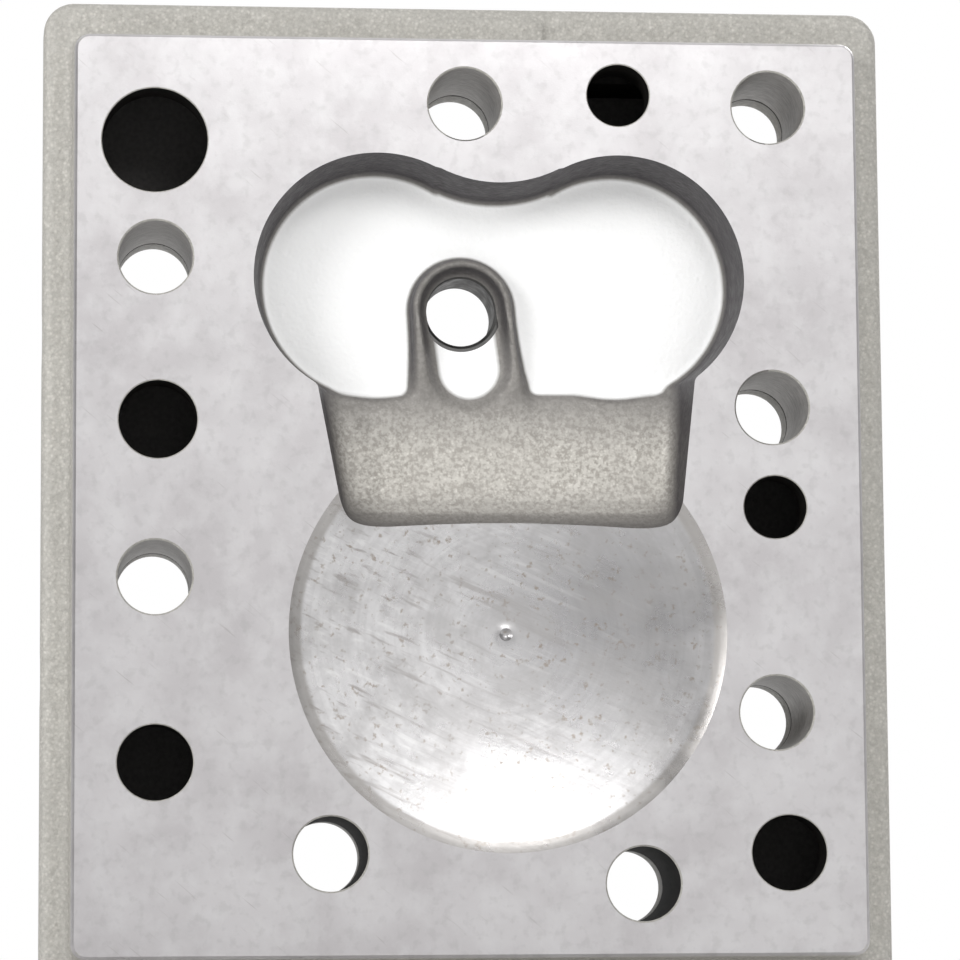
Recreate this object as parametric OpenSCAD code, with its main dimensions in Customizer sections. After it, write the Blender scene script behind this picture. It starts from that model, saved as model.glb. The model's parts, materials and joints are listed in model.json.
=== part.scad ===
// Liquid-cooled side-valve cylinder head, standing with its gasket face towards -Y.
// The origin is on the cylinder's axis, in the plane of the gasket face.
// Plane positions are [x, z] pairs and depths run along +Y, away from the cylinder.

/* [Deck] */
// Width of the gasket face
deck_w = 150; // [148:1:156]
// Height of the gasket face
deck_h = 174; // [174:1:180]
// Thickness of the deck plate
deck_t = 8; // [7:0.5:9]
// Height of the deck's middle above the cylinder's axis
deck_mid_z = 26; // [25:0.5:27]
// How far the cast flange stands out past the deck above and below
flange_out_z = 9; // [7:0.5:10]
// How far the cast flange stands out past the deck at the sides
flange_out_x = 6; // [5:0.5:7]
// Depth at which the casting ends and the cover's joint begins
casting_y = 25; // [25:0.5:27]

/* [Combustion chamber] */
// Radius of the dish over the piston
dish_r = 41.5; // [40:0.5:42]
// Depth of the dish at its middle
dish_depth = 6; // [5:0.5:6.5]
// Depth of the pocket over the valves
pocket_depth = 13; // [12:0.5:14]
// Radius of each of the pocket's two lobes
lobe_r = 23.8; // [23:0.2:24.4]
// Draft of the pocket's wall, as the run over its whole depth
pocket_draft = 1.6; // [0.8:0.2:2]
// Height of the spark plug's surround above the pocket's floor
boss_rise = 6; // [4:0.5:7]

/* [Holes] */
// Radius of the stud holes
stud_hole_r = 7; // [6.6:0.1:7.2]
// Radius of the spark plug thread
plug_thread_r = 6.6; // [6.4:0.1:6.8]
// Radius of the well over the spark plug
plug_well_r = 14; // [13:0.5:14.5]

/* [Cover] */
// Thickness of each joint gasket
gasket_t = 0.8; // [0.5:0.1:1.2]
// Thickness of the jacket cover
cover_t = 6; // [5:0.5:7]
// Height of the cover's ribs
rib_h = 5; // [4:0.5:6]
// Height of the thermostat housing above the cover
tower_h = 14; // [13:0.5:16]

/* [Water outlet] */
// Outer radius of the hose neck
neck_r = 16; // [15:0.5:16]
// Inner radius of the hose neck
neck_bore_r = 13; // [12:0.5:13]
// Distance from the cylinder's axis to the neck's end
neck_reach = 52; // [44:1:54]

/* [Hidden] */
$fn = 64;

over = 1;                          // how far cutting shapes run past a face
deck_mid_x = -7;
deck_x = [deck_mid_x - deck_w / 2, deck_mid_x + deck_w / 2];
deck_z = [deck_mid_z - deck_h / 2, deck_mid_z + deck_h / 2];
flange_x = [deck_x[0] - flange_out_x, deck_x[1] + flange_out_x];
flange_z = [deck_z[0] - flange_out_z, deck_z[1] + flange_out_z];
rail = 14;                         // width of the flange's joint face
cavity_x = [flange_x[0] + rail - 3, flange_x[1] - rail + 3];
cavity_z = [flange_z[0] + rail, flange_z[1] - rail];
cover_y = casting_y + gasket_t;    // inner face of the cover
plate_y = cover_y + cover_t;       // outer face of the cover's plate
tower_y = plate_y + tower_h;       // top of the thermostat housing
elbow_y = tower_y + gasket_t;      // joint face of the outlet elbow

// Chamber
lobe_left = [-24.2, 67.7];
lobe_right = [21.9, 67.7];
dip_center = [-1.15, 110.9];       // centre of the arc between the lobes
dip_r = 24.9;
floor_z = 47.4;                    // lower edge of the pocket's floor
shelf_top = [-35.8, 35.7];         // where the shelf's side walls leave the lobes
shelf_low = [-30.4, 32.6];         // where they reach the shelf's lower lip
shelf_lip_z = 17.6;
shelf_corner_r = 4;
plug_hole = [-7.6, 63];
slot_end = [-6.1, 51.9];
slot_r = 7.8;
boss_r = 9.6;
boss_foot = [-17.5, 5.4];          // how wide the boss grows where it meets the shelf
roof_t = 5.5;                      // metal behind the chamber
insert_r = 7.8;                    // outer radius of the plug's thread insert
dish_ball_r = (dish_r * dish_r + dish_depth * dish_depth) / (2 * dish_depth);

// Stud holes, as rows
studs_right = [for (i = [0:2]) [50.8, -15.2 + 58.2 * i]];
studs_left = [for (i = [0:1]) [-66.5, 10.3 + 60.7 * i]];
studs_low = [[-33.7, -41.5], [25.1, -47.3]];
stud_top = [-7.7, 101.2];
studs = concat(studs_right, studs_left, studs_low, [stud_top]);
stud_column_r = 11;
plug_column_r = 17;

// Water passages through the deck, as [x, z, radius]
water = [
    [21.8, 103.2, 6], [-66.7, 93.5, 10], [-66, 40.1, 7.4],
    [-66.4, -24.4, 7.1], [51.1, 23.9, 6], [52.8, -41.6, 7.1]
];

// Cover screws, in the middle of the rail
screw_r = 3;
screw_x = [flange_x[0] + 6.5, flange_x[1] - 6.5];
screw_z = [flange_z[0] + 7, flange_z[1] - 7];
screws = concat(
    [for (z = screw_z) for (i = [0:3]) [screw_x[0] + (screw_x[1] - screw_x[0]) * i / 3, z]],
    [for (z = [-27, 40.6, 95]) [screw_x[0], z]],
    [for (z = [-43, 13.9, 72.1]) [screw_x[1], z]]
);
screw_grip = 12;                   // how deep a cover screw goes into the casting
head_r = 5.8;                      // across the corners of a hexagon screw head
head_t = 4;
washer_r = 6.2;
washer_t = 1.2;
clear_r = 3.3;                     // clearance hole for the screws
thread_gap = 0.05;                 // radial gap left where a thread would be

// Thermostat housing, elbow and thermostat
tower_r = 30;
tower_bore_r = 22;
outlet_pcr = 31;                   // radius of the outlet's screw circle
outlet_screws_at = [for (a = [60, 180, 300]) outlet_pcr * [cos(a), sin(a)]];
outlet_lug_r = 7.5;
elbow_flange_t = 8;
elbow_r = 25;
elbow_bore_r = 21;
elbow_ball_y = 60;
neck_y = 64.5;
seat_y = tower_y - 1.5;            // lower face of the thermostat's flange
seat_r = 14.5;
capsule_r = 7;
piston_r = 2;
valve_disc_r = 16;
pin_at = 18.4 * [cos(45), sin(45)];

// Fittings on the cover, with the height of their bosses
fitting_y = plate_y + 3.2;
sender_at = [-46, -20];
petcock_at = [21, 94];
drain_at = [-4.5, -47];
core_plug_r = 5.5;
core_plug_y = 16.5;
core_plugs_left_z = [-8, 57];
core_plugs_right_z = [-29, 57];
key_y = fitting_y + 15;            // height of the petcock's turning key
key_r = 3.5;
core_hole_depth = rail - 3 + over; // right through the side rail

iron_grey = [0.62, 0.62, 0.61];
cast_grey = [0.68, 0.67, 0.65];
zinc = [0.78, 0.79, 0.8];
brass = [0.78, 0.62, 0.3];
fibre = [0.35, 0.33, 0.3];

// A flat shape drawn in x and z, from depth y0 to depth y1.
module slab(y0, y1) {
    translate([0, y1, 0]) rotate([90, 0, 0]) linear_extrude(y1 - y0) children();
}

// A cylinder along Y at [x, z], from y0 to y1.
module rod(p, r, y0, y1) {
    translate([p[0], y1, p[1]]) rotate([90, 0, 0]) cylinder(r = r, h = y1 - y0);
}

// A cone along Y at [x, z], of radius r0 at y0 and r1 at y1.
module cone(p, r0, r1, y0, y1) {
    translate([p[0], y1, p[1]]) rotate([90, 0, 0]) cylinder(r1 = r1, r2 = r0, h = y1 - y0);
}

// A hexagonal bar along Y.
module hex(p, r, y0, y1) {
    translate([p[0], y1, p[1]]) rotate([90, 0, 0]) cylinder(r = r, h = y1 - y0, $fn = 6);
}

// A rectangle with rounded corners.
module rounded(x, z, r) {
    translate([x[0] + r, z[0]]) square([x[1] - x[0] - 2 * r, z[1] - z[0]]);
    translate([x[0], z[0] + r]) square([x[1] - x[0], z[1] - z[0] - 2 * r]);
    for (px = [x[0] + r, x[1] - r]) for (pz = [z[0] + r, z[1] - r]) translate([px, pz]) circle(r);
}

// The shelf between the dish and the valve pocket, as an outline.
module shelf_outline() {
    low_z = shelf_lip_z + shelf_corner_r;
    polygon([
        [shelf_top[0], floor_z + 4], [shelf_low[0], low_z], [shelf_low[1], low_z],
        [shelf_top[1], floor_z + 4]
    ]);
    translate([shelf_low[0] + shelf_corner_r, shelf_lip_z])
        square([shelf_low[1] - shelf_low[0] - 2 * shelf_corner_r, shelf_corner_r + 1]);
    for (x = [shelf_low[0] + shelf_corner_r, shelf_low[1] - shelf_corner_r])
        translate([x, low_z]) circle(shelf_corner_r);
}

// The two-lobed pocket over the valves, grown outwards by grow.
module pocket(grow, y0, y1) {
    for (p = [lobe_left, lobe_right])
        cone(p, lobe_r + grow, lobe_r + grow - pocket_draft, y0, y1);
    difference() {
        slab(y0, y1) polygon([lobe_left, dip_center, lobe_right]);
        cone(dip_center, dip_r - grow, dip_r - grow + pocket_draft, y0 - over, y1 + over);
    }
    slab(y0, y1) polygon([
        lobe_left, lobe_right, [shelf_top[1] - pocket_draft + grow, floor_z],
        [shelf_top[0] + pocket_draft - grow, floor_z]
    ]);
}

// The sloping shelf that joins the dish to the pocket.
module shelf() {
    intersection() {
        slab(-over, pocket_depth) shelf_outline();
        translate([flange_x[0], 0, 0]) rotate([90, 0, 90]) linear_extrude(flange_x[1] - flange_x[0])
            polygon([
                [-over, shelf_lip_z - 1], [0, shelf_lip_z], [4.5, 21], [7.5, 23.6], [9.2, 27.5],
                [10.2, 34], [11.4, 40], [pocket_depth, floor_z], [pocket_depth, floor_z + 5],
                [-over, floor_z + 5]
            ]);
    }
}

// The raised surround of the spark plug's hole, open towards the shelf.
module plug_surround() {
    top = pocket_depth - boss_rise;
    rod(plug_hole, boss_r, top, pocket_depth + over);
    slab(top, pocket_depth + over) polygon([
        [plug_hole[0] - boss_r, plug_hole[1]], [plug_hole[0] + boss_r, plug_hole[1]],
        [boss_foot[1] - 3, floor_z + 4], [boss_foot[1], floor_z - 1],
        [boss_foot[0], floor_z - 1], [boss_foot[0] + 3, floor_z + 4]
    ]);
}

module slot() {
    slab(-over, pocket_depth) {
        translate(slot_end) circle(slot_r);
        translate(plug_hole) circle(slot_r);
        polygon([
            [plug_hole[0] - slot_r, plug_hole[1]], [plug_hole[0] + slot_r, plug_hole[1]],
            [slot_end[0] + slot_r, slot_end[1]], [slot_end[0] - slot_r, slot_end[1]]
        ]);
    }
}

module dish() {
    translate([0, dish_depth - dish_ball_r, 0]) intersection() {
        sphere(dish_ball_r, $fn = 200);
        rotate([-90, 0, 0]) cylinder(r = dish_r + 1, h = dish_ball_r + 1);
    }
}

// Metal that backs the chamber inside the water jacket.
module chamber_roof() {
    rod([0, 0], dish_r - 3, deck_t - over, dish_depth + roof_t + 1.5);
    pocket(roof_t, deck_t - over, pocket_depth + roof_t);
    slab(deck_t - over, pocket_depth + roof_t)
        polygon([[shelf_top[0] - 4, floor_z], [shelf_low[0] - 4, 22], [shelf_low[1] + 4, 22],
            [shelf_top[1] + 4, floor_z]]);
}

module columns() {
    for (p = studs) rod(p, stud_column_r, deck_t - over, casting_y);
    rod(plug_hole, plug_column_r, deck_t, casting_y);
}

module head_casting() {
    color(iron_grey) difference() {
        union() {
            slab(0, deck_t + 1) rounded(deck_x, deck_z, 3);
            slab(deck_t, casting_y) rounded(flange_x, flange_z, 6);
        }
        difference() {
            slab(deck_t, casting_y + over) rounded(cavity_x, cavity_z, 8);
            chamber_roof();
            columns();
        }
        dish();
        difference() {
            union() {
                pocket(0, -over, pocket_depth);
                shelf();
            }
            plug_surround();
        }
        slot();
        rod(plug_hole, insert_r, pocket_depth - over, casting_y + over);
        for (p = studs) rod(p, stud_hole_r, -over, casting_y + over);
        for (w = water) rod(w, w[2], -over, deck_t + over);
        for (p = screws)
            rod(p, screw_r + thread_gap, casting_y - screw_grip - 1.5, casting_y + over);
        core_plug_cuts(core_plug_r, core_hole_depth, 1);
    }
}

// Short cylinders along X through the side rails, at the core holes.
module core_plug_cuts(r, depth, past) {
    for (z = core_plugs_left_z) translate([flange_x[0] - past, core_plug_y, z])
        rotate([0, 90, 0]) cylinder(r = r, h = depth + past);
    for (z = core_plugs_right_z) translate([flange_x[1] - depth, core_plug_y, z])
        rotate([0, 90, 0]) cylinder(r = r, h = depth + past);
}

// Pressed steel cups that close the core holes.
module core_plugs() {
    cup_h = 4.5;
    recess = 1.5;
    wall = 1.2;
    color(zinc) difference() {
        for (side = [0, 1]) for (z = side == 0 ? core_plugs_left_z : core_plugs_right_z)
            translate([side == 0 ? flange_x[0] + recess : flange_x[1] - recess - cup_h,
                core_plug_y, z]) rotate([0, 90, 0]) cylinder(r = core_plug_r, h = cup_h);
        for (side = [0, 1]) for (z = side == 0 ? core_plugs_left_z : core_plugs_right_z)
            translate([side == 0 ? flange_x[0] : flange_x[1] - recess - cup_h + wall,
                core_plug_y, z])
                rotate([0, 90, 0]) cylinder(r = core_plug_r - wall, h = recess + cup_h - wall);
    }
}

module plug_insert() {
    color(zinc) difference() {
        rod(plug_hole, insert_r, pocket_depth, casting_y);
        rod(plug_hole, plug_thread_r, pocket_depth - over, casting_y + over);
        cone(plug_hole, plug_thread_r + 1.6, plug_thread_r - 0.4, pocket_depth - over,
            pocket_depth + 1);
    }
}

// Everything that the gasket and the cover are both pierced by.
module cover_holes(y0, y1) {
    for (p = studs) rod(p, stud_hole_r, y0, y1);
    for (p = screws) rod(p, clear_r, y0, y1);
    rod(plug_hole, plug_well_r, y0, y1);
    rod([0, 0], tower_bore_r, y0, y1);
}

module jacket_gasket() {
    color(fibre) difference() {
        slab(casting_y, cover_y) rounded(flange_x, flange_z, 6);
        cover_holes(casting_y - over, cover_y + over);
        slab(casting_y - over, cover_y + over) {
            rounded([-52, -28], [18, 50], 5);
            rounded([10, 36], [26, 88], 5);
        }
        rod(sender_at, 8, casting_y - over, cover_y + over);
        rod(petcock_at, 6.5, casting_y - over, cover_y + over);
        rod(drain_at, 8, casting_y - over, cover_y + over);
    }
}

// Upright ribs, kept away from everything that is bolted on or passes through.
module cover_ribs() {
    rib_t = 3;
    pitch = 11.4;
    top = plate_y + rib_h;
    rib_z = [flange_z[0] + rail + 2, flange_z[1] - rail - 2];
    difference() {
        for (i = [-5:4]) {
            x = deck_mid_x + pitch / 2 + pitch * i;
            slab(plate_y - over, top) {
                translate([x - rib_t / 2, rib_z[0]]) square([rib_t, rib_z[1] - rib_z[0]]);
                for (z = rib_z) translate([x, z]) circle(rib_t / 2);
            }
        }
        for (p = studs) rod(p, 13.5, plate_y - 2 * over, top + over);
        rod([0, 0], tower_r + 11, plate_y - 2 * over, top + over);
        rod(plug_hole, plug_well_r + 5.5, plate_y - 2 * over, top + over);
        rod(sender_at, 14, plate_y - 2 * over, top + over);
        rod(petcock_at, 12, plate_y - 2 * over, top + over);
        rod(drain_at, 13, plate_y - 2 * over, top + over);
    }
}

module jacket_cover() {
    color(cast_grey) difference() {
        union() {
            slab(cover_y, plate_y) rounded(flange_x, flange_z, 6);
            cover_ribs();
            cone([0, 0], tower_r + 2.5, tower_r - 2.5, plate_y - over, tower_y);
            for (p = outlet_screws_at) rod(p, outlet_lug_r, plate_y - over, tower_y);
            rod(plug_hole, plug_well_r + 3.5, plate_y - over, plate_y + rib_h);
            rod(sender_at, 12, plate_y - over, fitting_y);
            rod(petcock_at, 9.5, plate_y - over, fitting_y);
            rod(drain_at, 11, plate_y - over, fitting_y);
        }
        cover_holes(cover_y - over, plate_y + over);
        rod(plug_hole, plug_well_r, cover_y - over, plate_y + rib_h + over);
        rod([0, 0], tower_bore_r, cover_y - over, tower_y + over);
        rod([0, 0], tower_bore_r + 4.3, seat_y, tower_y + over);
        for (p = outlet_screws_at) rod(p, screw_r + thread_gap, tower_y - 12, tower_y + over);
        rod(sender_at, 6 + thread_gap, cover_y - over, fitting_y + over);
        rod(petcock_at, 4.8 + thread_gap, cover_y - over, fitting_y + over);
        rod(drain_at, 6.8 + thread_gap, cover_y - over, fitting_y + over);
    }
}

module cover_screws() {
    under_head = plate_y + washer_t;
    color(zinc) for (p = screws) {
        rod(p, screw_r, casting_y - screw_grip, under_head + 0.5);
        hex(p, head_r, under_head, under_head + head_t);
    }
}

module cover_washers() {
    color(zinc) difference() {
        for (p = screws) rod(p, washer_r, plate_y, plate_y + washer_t);
        for (p = screws) rod(p, clear_r, plate_y - over, plate_y + washer_t + over);
    }
}

// Flange with the valve seat, the bridge that holds the piston and the cage for the spring.
module thermostat_frame() {
    cage_y = seat_y - 19;
    bridge_y = tower_y + 14;
    color(brass) difference() {
        union() {
            rod([0, 0], tower_bore_r + 4, seat_y, tower_y);
            for (s = [-1, 1]) translate([s * 15 - 1.5, tower_y - 0.5, -4])
                cube([3, bridge_y - tower_y + 0.5, 8]);
            translate([-16.5, bridge_y - 2, -4]) cube([33, 2, 8]);
            for (s = [-1, 1]) translate([-4, cage_y, s * 19.8 - 0.8])
                cube([8, seat_y - cage_y + 0.5, 1.6]);
            translate([-4, cage_y, -20.6]) cube([8, 1.5, 41.2]);
            rod([0, 0], 10.5, cage_y, cage_y + 1.5);
        }
        difference() {
            rod([0, 0], seat_r, seat_y - over, tower_y + over);
            for (s = [-1, 1]) translate([s * 15 - 1.5, seat_y - 2 * over, -4]) cube([3, 6, 8]);
        }
        rod(pin_at, 1.6, seat_y - over, tower_y + over);
        rod([0, 0], capsule_r + 0.35, cage_y - over, cage_y + 3);
    }
    color(zinc) rod([0, 0], piston_r, seat_y - 8, bridge_y - 1);
}

// Valve disc and wax capsule, which slide together.
module thermostat_valve() {
    color(brass) difference() {
        union() {
            rod([0, 0], valve_disc_r, seat_y - 1.8, seat_y - 0.3);
            rod([0, 0], capsule_r, seat_y - 22, seat_y - 0.3);
        }
        rod([0, 0], piston_r + 0.05, seat_y - 17, seat_y + over);
    }
}

// Conical spring, drawn as the rings of its coils and the sleeve that they lie on.
module thermostat_spring() {
    coils = 5;
    wire_r = 0.9;
    first_y = seat_y - 16.4;
    last_y = seat_y - 2.9;
    coil_r = 10.5;
    color(zinc) {
        for (i = [0:coils - 1]) {
            y = first_y + (last_y - first_y) * i / (coils - 1);
            translate([0, y, 0]) rotate([90, 0, 0]) rotate_extrude()
                translate([coil_r, 0]) circle(wire_r);
        }
        difference() {
            rod([0, 0], coil_r + 0.3, first_y, last_y);
            rod([0, 0], coil_r - 0.3, first_y - over, last_y + over);
        }
    }
}

// Loose pin that lets air past the closed valve.
module jiggle_pin() {
    color(brass) {
        rod(pin_at, 1.2, seat_y - 2.4, tower_y + 0.3);
        rod(pin_at, 2, tower_y + 0.3, tower_y + 0.8);
        rod(pin_at, 2, seat_y - 3.2, seat_y - 2.4);
    }
}

// Round joint face with three lugs, shared by the outlet's gasket and elbow.
module outlet_outline() {
    circle(tower_r - 2.5);
    for (p = outlet_screws_at) translate(p) circle(outlet_lug_r);
}

module outlet_gasket() {
    color(fibre) difference() {
        slab(tower_y, elbow_y) outlet_outline();
        rod([0, 0], elbow_bore_r + 0.5, tower_y - over, elbow_y + over);
        for (p = outlet_screws_at) rod(p, clear_r, tower_y - over, elbow_y + over);
    }
}

module neck(r, from, to) {
    translate([from, neck_y, 0]) rotate([0, 90, 0]) cylinder(r = r, h = to - from);
}

// The hose is pushed on up to the shoulder at the neck's root.
module outlet_elbow() {
    shoulder = 1.5;
    root_end = 28.5;
    color(cast_grey) difference() {
        union() {
            slab(elbow_y, elbow_y + elbow_flange_t) outlet_outline();
            rod([0, 0], elbow_r, elbow_y, elbow_ball_y);
            translate([0, elbow_ball_y, 0]) sphere(elbow_r);
            neck(neck_r + shoulder, 0, root_end);
            neck(neck_r, root_end - over, neck_reach);
        }
        rod([0, 0], elbow_bore_r, elbow_y - over, elbow_ball_y);
        translate([0, elbow_ball_y, 0]) sphere(elbow_bore_r);
        rod([0, 0], elbow_r + over, elbow_ball_y - elbow_r - over, elbow_y);
        neck(neck_bore_r, 0, neck_reach + over);
        for (p = outlet_screws_at) {
            rod(p, clear_r, elbow_y - over, elbow_y + elbow_flange_t + over);
            rod(p, washer_r + 0.4, elbow_y + elbow_flange_t, elbow_y + elbow_flange_t + 12);
        }
    }
}

module outlet_screws() {
    under_head = elbow_y + elbow_flange_t + washer_t;
    color(zinc) for (p = outlet_screws_at) {
        rod(p, screw_r, tower_y - 11, under_head + 0.5);
        hex(p, head_r, under_head, under_head + head_t);
    }
}

module outlet_washers() {
    y = elbow_y + elbow_flange_t;
    color(zinc) difference() {
        for (p = outlet_screws_at) rod(p, washer_r, y, y + washer_t);
        for (p = outlet_screws_at) rod(p, clear_r, y - over, y + washer_t + over);
    }
}

module sender_body() {
    color(brass) difference() {
        union() {
            rod(sender_at, 4.5, casting_y - 5, cover_y);
            rod(sender_at, 6, cover_y, fitting_y + 1.5);
            hex(sender_at, 9.8, fitting_y + 1.5, fitting_y + 8);
            rod(sender_at, 7.4, fitting_y + 8, fitting_y + 12);
        }
        rod(sender_at, 5.6, fitting_y + 7, fitting_y + 12 + over);
    }
}

module sender_seal() {
    color([0.72, 0.42, 0.28]) difference() {
        rod(sender_at, 9.5, fitting_y, fitting_y + 1.5);
        rod(sender_at, 6.1, fitting_y - over, fitting_y + 1.5 + over);
    }
}

module sender_insulator() {
    color([0.12, 0.12, 0.12]) difference() {
        union() {
            rod(sender_at, 5.5, fitting_y + 7, fitting_y + 13);
            rod(sender_at, 4.2, fitting_y + 13, fitting_y + 15);
        }
        rod(sender_at, 2.05, fitting_y + 7 - over, fitting_y + 15 + over);
    }
}

module sender_terminal() {
    color(brass) {
        rod(sender_at, 2, fitting_y + 9, fitting_y + 24);
        rod(sender_at, 3.6, fitting_y + 15, fitting_y + 16);
    }
}

module sender_nut() {
    color(brass) difference() {
        hex(sender_at, 4.4, fitting_y + 17.5, fitting_y + 20.5);
        rod(sender_at, 2.03, fitting_y + 17.5 - over, fitting_y + 20.5 + over);
    }
}

// Bleed cock: threaded stem, hexagon, barrel for the key and a downward nozzle.
module petcock_body() {
    barrel_x = 7;
    nozzle = [petcock_at[0], key_y + 10];
    color(brass) difference() {
        union() {
            rod(petcock_at, 4.8, cover_y, fitting_y + 0.5);
            hex(petcock_at, 8, fitting_y, fitting_y + 6);
            rod(petcock_at, 5, fitting_y + 5, key_y + 10);
            translate([petcock_at[0] - barrel_x, key_y, petcock_at[1]]) rotate([0, 90, 0])
                cylinder(r = key_r + 2.5, h = 2 * barrel_x);
            translate([petcock_at[0], nozzle[1], petcock_at[1] - 17]) cylinder(r = 3.6, h = 17);
            translate([petcock_at[0], nozzle[1], petcock_at[1]]) sphere(5);
            translate([petcock_at[0], nozzle[1], petcock_at[1] - 16]) rotate_extrude()
                translate([3.4, 0]) circle(0.9);
        }
        rod(petcock_at, 2, cover_y - over, nozzle[1]);
        translate([petcock_at[0], nozzle[1], petcock_at[1] - 18]) cylinder(r = 2, h = 18);
        translate([petcock_at[0] - barrel_x - over, key_y, petcock_at[1]]) rotate([0, 90, 0])
            cylinder(r = key_r + 0.05, h = 2 * (barrel_x + over));
    }
}

// Turning key of the bleed cock. Its cross bore lines up with the stem when it is open.
module petcock_key() {
    reach = 7.4;
    color(brass) translate([petcock_at[0], key_y, petcock_at[1]]) difference() {
        union() {
            translate([-reach, 0, 0]) rotate([0, 90, 0]) cylinder(r = key_r, h = 2 * reach);
            translate([-reach - 4.5, 0, 0]) rotate([0, 90, 0]) cylinder(r = 2, h = 5);
            translate([reach, 0, 0]) rotate([0, 90, 0]) cylinder(r = 2, h = 3.4);
        }
        translate([0, 0, -5]) cylinder(r = 1.9, h = 10);
    }
}

// Lever on the key, standing across the flow when the cock is shut.
module petcock_lever() {
    arm = 18;
    color(zinc) translate([petcock_at[0] + 7.6, key_y, petcock_at[1]]) difference() {
        union() {
            rotate([0, 90, 0]) cylinder(r = 4.5, h = 2.4);
            translate([0, -2.6, 0]) cube([2.4, 5.2, arm]);
            translate([0, 0, arm]) rotate([0, 90, 0]) cylinder(r = 2.6, h = 2.4);
        }
        translate([-1, 0, 0]) rotate([0, 90, 0]) cylinder(r = 2.02, h = 5);
    }
}

// Spring washer stack that holds the key in its taper.
module petcock_spring() {
    color(zinc) translate([petcock_at[0] - 7.6, key_y, petcock_at[1]]) difference() {
        for (i = [0:1]) translate([-0.9 * i - 0.7, 0, 0]) rotate([0, 90, 0])
            cylinder(r = 4.4 - 0.5 * i, h = i == 0 ? 0.7 : 0.9);
        translate([-3, 0, 0]) rotate([0, 90, 0]) cylinder(r = 2.02, h = 5);
    }
}

module petcock_nut() {
    color(brass) translate([petcock_at[0] - 11, key_y, petcock_at[1]]) difference() {
        rotate([0, 90, 0]) cylinder(r = 4, h = 1.7, $fn = 6);
        translate([-1, 0, 0]) rotate([0, 90, 0]) cylinder(r = 2.02, h = 4);
    }
}

// Square-headed plug in the drain boss.
module pipe_plug() {
    side = 9;
    color(iron_grey) {
        rod(drain_at, 6.8, cover_y + 0.5, fitting_y + 1.5);
        translate([drain_at[0] - side / 2, fitting_y + 1.2, drain_at[1] - side / 2])
            cube([side, 8, side]);
    }
}

head_casting();
core_plugs();
plug_insert();
jacket_gasket();
jacket_cover();
cover_screws();
cover_washers();
thermostat_frame();
thermostat_valve();
thermostat_spring();
jiggle_pin();
outlet_gasket();
outlet_elbow();
outlet_screws();
outlet_washers();
sender_body();
sender_seal();
sender_insulator();
sender_terminal();
sender_nut();
petcock_body();
petcock_key();
petcock_lever();
petcock_spring();
petcock_nut();
pipe_plug();
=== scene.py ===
import json
import math

import bmesh
import bpy
import numpy as np
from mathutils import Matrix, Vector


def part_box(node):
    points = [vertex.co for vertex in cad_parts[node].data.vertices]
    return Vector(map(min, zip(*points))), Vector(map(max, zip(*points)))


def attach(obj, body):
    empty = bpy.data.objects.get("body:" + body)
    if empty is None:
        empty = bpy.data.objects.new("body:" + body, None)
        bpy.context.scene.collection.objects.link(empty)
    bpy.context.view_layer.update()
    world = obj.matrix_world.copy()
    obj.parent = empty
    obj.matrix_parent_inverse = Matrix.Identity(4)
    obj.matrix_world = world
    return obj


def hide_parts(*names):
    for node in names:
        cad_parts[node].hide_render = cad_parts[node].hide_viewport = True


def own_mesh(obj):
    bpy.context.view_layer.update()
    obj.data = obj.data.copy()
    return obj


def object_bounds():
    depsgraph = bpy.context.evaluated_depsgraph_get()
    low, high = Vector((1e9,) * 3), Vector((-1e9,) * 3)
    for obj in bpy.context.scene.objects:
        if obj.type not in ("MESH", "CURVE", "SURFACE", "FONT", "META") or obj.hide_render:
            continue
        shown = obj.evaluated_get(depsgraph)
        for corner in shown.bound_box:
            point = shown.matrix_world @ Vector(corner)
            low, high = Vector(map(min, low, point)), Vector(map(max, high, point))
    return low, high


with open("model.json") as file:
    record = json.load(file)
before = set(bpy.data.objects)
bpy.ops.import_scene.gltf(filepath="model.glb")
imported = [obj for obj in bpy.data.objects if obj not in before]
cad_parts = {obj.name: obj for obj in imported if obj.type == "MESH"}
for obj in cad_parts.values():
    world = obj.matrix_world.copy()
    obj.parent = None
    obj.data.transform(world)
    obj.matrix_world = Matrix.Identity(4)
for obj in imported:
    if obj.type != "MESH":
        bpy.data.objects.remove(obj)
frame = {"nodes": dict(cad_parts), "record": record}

import openvdb
from mathutils import Quaternion, Vector

CAD_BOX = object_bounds()
MM = 0.001

# ---------------------------------------------------------------- dimensions, in millimetres
# Plane positions are (x, z); depths run along +Y, away from the gasket face.

DECK_T = 8.0
DECK_CHAMFER = 0.7
DISH_R = 41.5
DISH_LAND = 2.2
DISH_DEPTH = 6.0
POCKET_DEPTH = 13.0
LOBE_R = 23.8
LOBES = ((-24.2, 67.7), (21.9, 67.7))
DIP = (-1.15, 110.9)
DIP_R = 24.9
FLOOR_Z = 47.4
SHELF_TOP = (-35.8, 35.7)
SHELF_LOW = (-30.4, 32.6)
SHELF_LIP_Z = 17.6
PLUG = (-7.6, 63.0)
SLOT_END = (-6.1, 51.9)
SLOT_R = 7.7
BOSS_R = 9.7
BOSS_FOOT = (-5.9, 44.0)
BOSS_RISE = 6.0
STUD_R = 7.0
STUDS = (
    (50.8, -15.2), (50.8, 43.0), (50.8, 101.2), (-66.5, 10.3), (-66.5, 71.0),
    (-33.7, -41.5), (25.1, -47.3), (-7.7, 101.2),
)
WATER = (
    (21.8, 103.2, 6.0), (-66.7, 93.5, 10.0), (-66.0, 40.1, 7.4),
    (-66.4, -24.4, 7.1), (51.1, 23.9, 6.0), (52.8, -41.6, 7.1),
)
STUD_COLUMN_R = 11.0
PLUG_COLUMN_R = 17.0
PLUG_WELL_R = 14.0
INSERT_R = 7.8
RAIL = 14.0
CORE_HOLE_R = 5.5
TOWER_R = 30.0
TOWER_BORE_R = 22.0
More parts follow.
